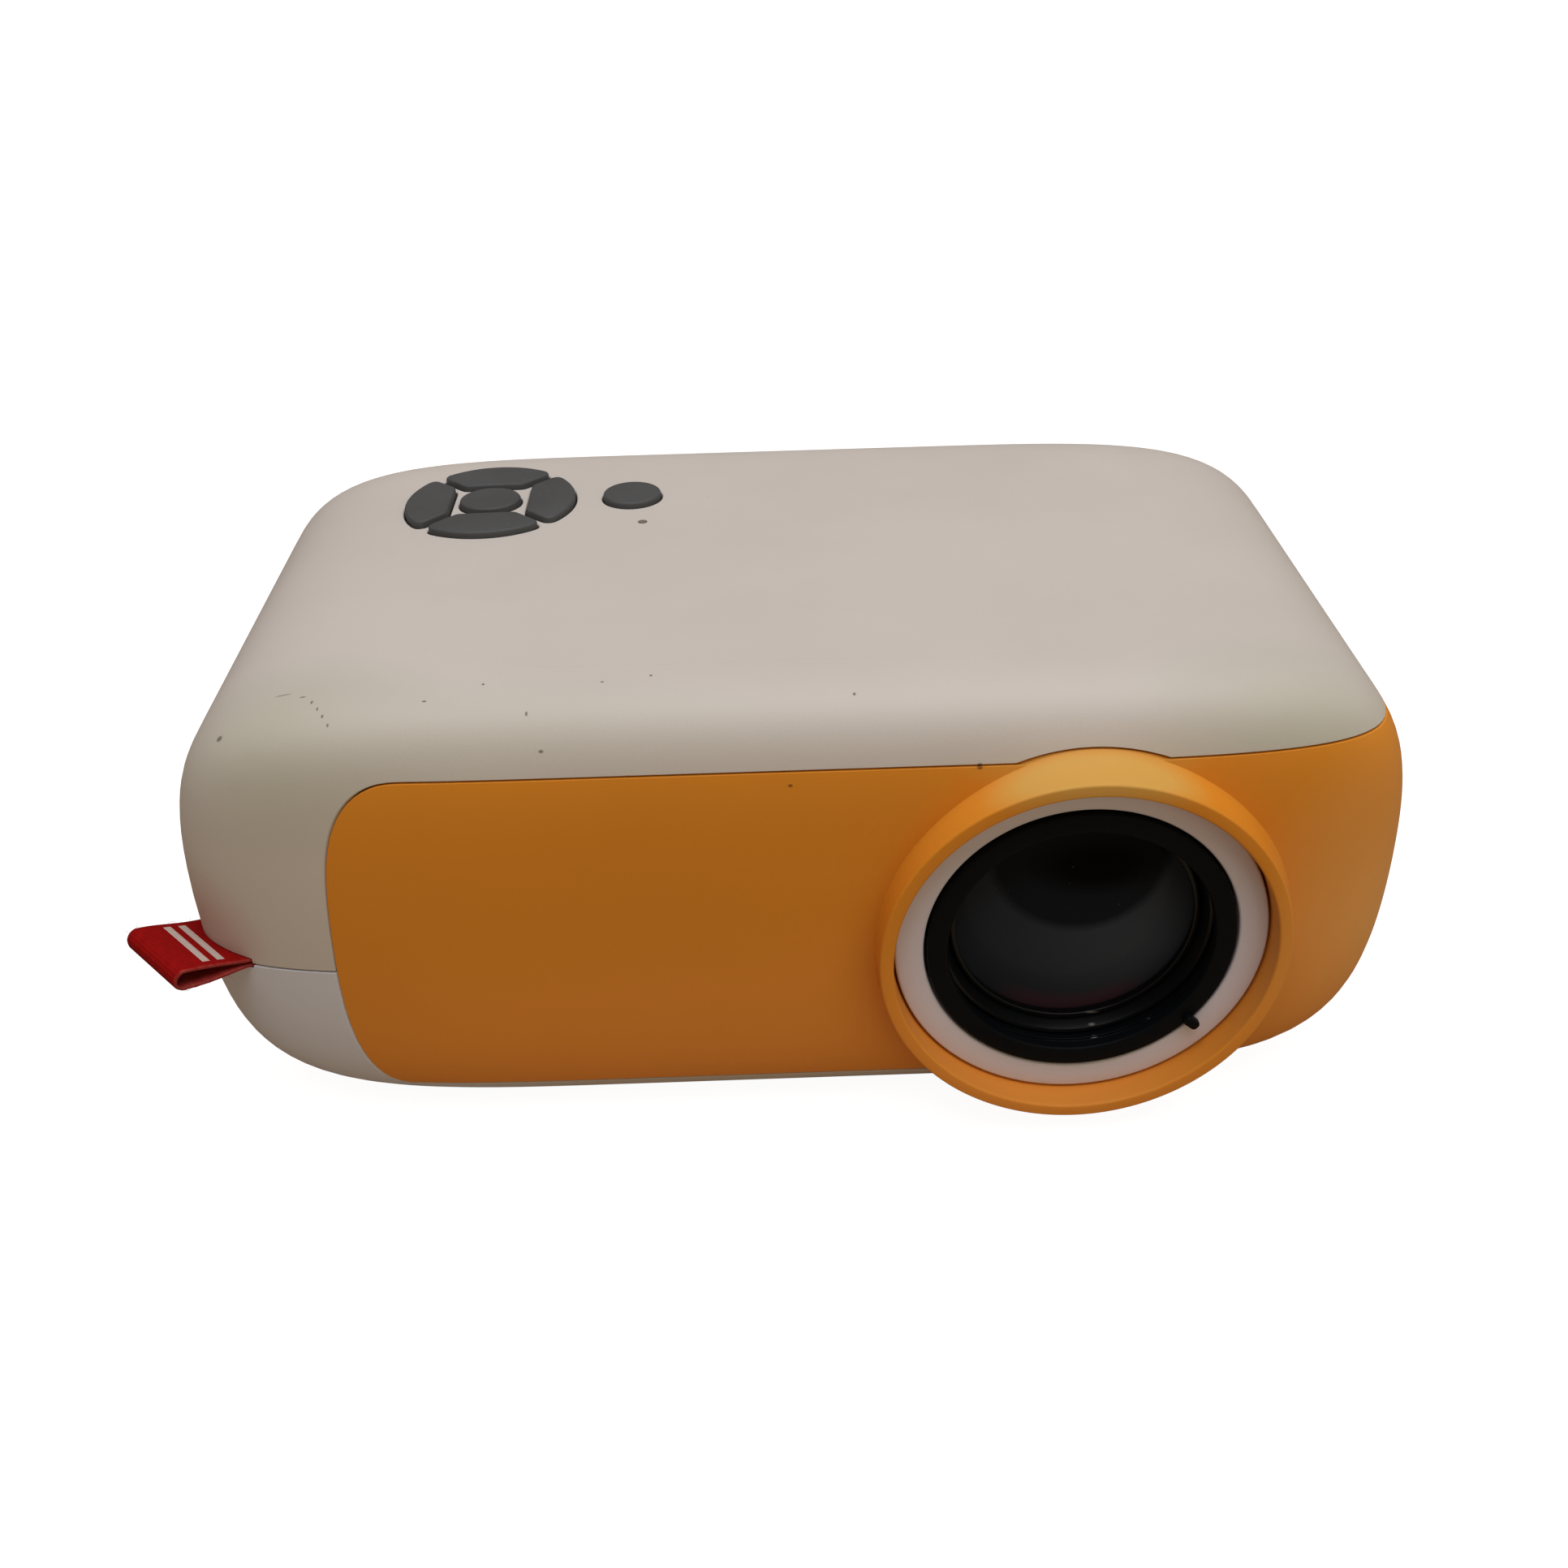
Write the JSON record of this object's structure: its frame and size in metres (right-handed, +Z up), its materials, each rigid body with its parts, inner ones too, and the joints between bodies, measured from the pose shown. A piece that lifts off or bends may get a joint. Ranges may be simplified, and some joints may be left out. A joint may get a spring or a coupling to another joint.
{
  "type": "mini video projector",
  "caption": "Mini video projector: rounded two-half case, wrap-round front cover with a round lens hood, focus ring, key pad, sockets, folded optical engine, fan and ribbon tag.",
  "frame": {"origin": "bottom centre of the whole object's bounding box, on the surface that the feet stand on", "axes": "+Z up; -Y is the front, where the lens looks out; +X to the right as seen from the front"},
  "size_m": [0.1461, 0.0873, 0.0574],
  "materials": {
    "white_plastic": "satin warm white moulded plastic",
    "orange_plastic": "satin orange moulded plastic",
    "black_plastic": "matt black moulded plastic",
    "key_rubber": "matt dark grey",
    "foot_rubber": "matt black",
    "lens_glass": "coated dark glass",
    "clear_optic": "clear",
    "mirror_glass": "first-surface mirror",
    "board_green": "solder-resist green",
    "socket_steel": "tinned sheet steel",
    "fin_aluminium": "milled",
    "screw_steel": "black oxide",
    "insert_brass": "plain",
    "lamp_phosphor": "yellow phosphor",
    "red_ribbon": "woven ribbon"
  },
  "bodies": {
    "housing": {"upper_shell": "white_plastic", "lower_shell": "white_plastic", "front_panel": "orange_plastic", "foot_1": "foot_rubber", "foot_2": "foot_rubber", "foot_3": "foot_rubber", "foot_4": "foot_rubber", "case_screw_1": "screw_steel", "case_screw_2": "screw_steel", "case_screw_3": "screw_steel", "case_screw_4": "screw_steel", "tripod_insert": "insert_brass", "lens_trim_ring": "white_plastic", "lens_sleeve": "black_plastic", "engine_case": "black_plastic", "engine_lid": "black_plastic", "fresnel_front": "clear_optic", "lcd_panel": "board_green", "fresnel_rear": "clear_optic", "heat_glass": "clear_optic", "condenser_lens": "clear_optic", "fold_mirror": "mirror_glass", "lamp_board": "fin_aluminium", "lamp": "lamp_phosphor", "heatsink": "fin_aluminium", "fan_frame": "black_plastic", "switch_up": "black_plastic", "switch_down": "black_plastic", "switch_left": "black_plastic", "switch_right": "black_plastic", "switch_ok": "black_plastic", "switch_power": "black_plastic", "key_board": "board_green", "light_pipe": "black_plastic", "main_board": "board_green", "main_chip": "black_plastic", "ir_receiver": "black_plastic", "ir_window": "lens_glass", "dc_jack": "black_plastic", "av_jack": "black_plastic", "usb_port": "socket_steel", "hdmi_port": "socket_steel", "card_slot": "socket_steel", "speaker_driver": "black_plastic", "speaker_magnet": "screw_steel", "tag_loop": "red_ribbon"},
    "focus_ring": {"focus_ring": "black_plastic"},
    "lens_carrier": {"lens_cell": "black_plastic", "front_lens": "lens_glass", "front_retainer": "black_plastic", "rear_lens": "lens_glass", "rear_retainer": "black_plastic"},
    "fan": {"fan_rotor": "black_plastic"},
    "key_up": {"key_up": "key_rubber"},
    "key_down": {"key_down": "key_rubber"},
    "key_left": {"key_left": "key_rubber"},
    "key_right": {"key_right": "key_rubber"},
    "key_ok": {"key_ok": "key_rubber"},
    "key_power": {"key_power": "key_rubber"}
  },
  "joints": [
    {"name": "focus_turn", "type": "hinge", "parent": "housing", "child": "focus_ring", "pos_m": [0.03491, -0.04095, 0.0265], "axis": [0, -1, 0], "range_deg": [-90, 90]},
    {"name": "lens_slide", "type": "slide", "parent": "housing", "child": "lens_carrier", "axis": [0, -1, 0], "range_m": [-0.00196, 0.00196]},
    {"name": "fan_spin", "type": "hinge", "parent": "housing", "child": "fan", "pos_m": [-0.05652, 0.00375, 0.0265], "axis": [1, 0, 0], "continuous": true},
    {"name": "press_up", "type": "slide", "parent": "housing", "child": "key_up", "axis": [0, 0, -1], "range_m": [0, 0.0006], "stiffness_N_per_m": 400},
    {"name": "press_down", "type": "slide", "parent": "housing", "child": "key_down", "axis": [0, 0, -1], "range_m": [0, 0.0006], "stiffness_N_per_m": 400},
    {"name": "press_left", "type": "slide", "parent": "housing", "child": "key_left", "axis": [0, 0, -1], "range_m": [0, 0.0006], "stiffness_N_per_m": 400},
    {"name": "press_right", "type": "slide", "parent": "housing", "child": "key_right", "axis": [0, 0, -1], "range_m": [0, 0.0006], "stiffness_N_per_m": 400},
    {"name": "press_ok", "type": "slide", "parent": "housing", "child": "key_ok", "axis": [0, 0, -1], "range_m": [0, 0.0006], "stiffness_N_per_m": 400},
    {"name": "press_power", "type": "slide", "parent": "housing", "child": "key_power", "axis": [0, 0, -1], "range_m": [0, 0.0006], "stiffness_N_per_m": 400}
  ],
  "couplings": [
    {"joint": "focus_turn", "follows": "lens_slide", "rad_per_m": 800}
  ]
}
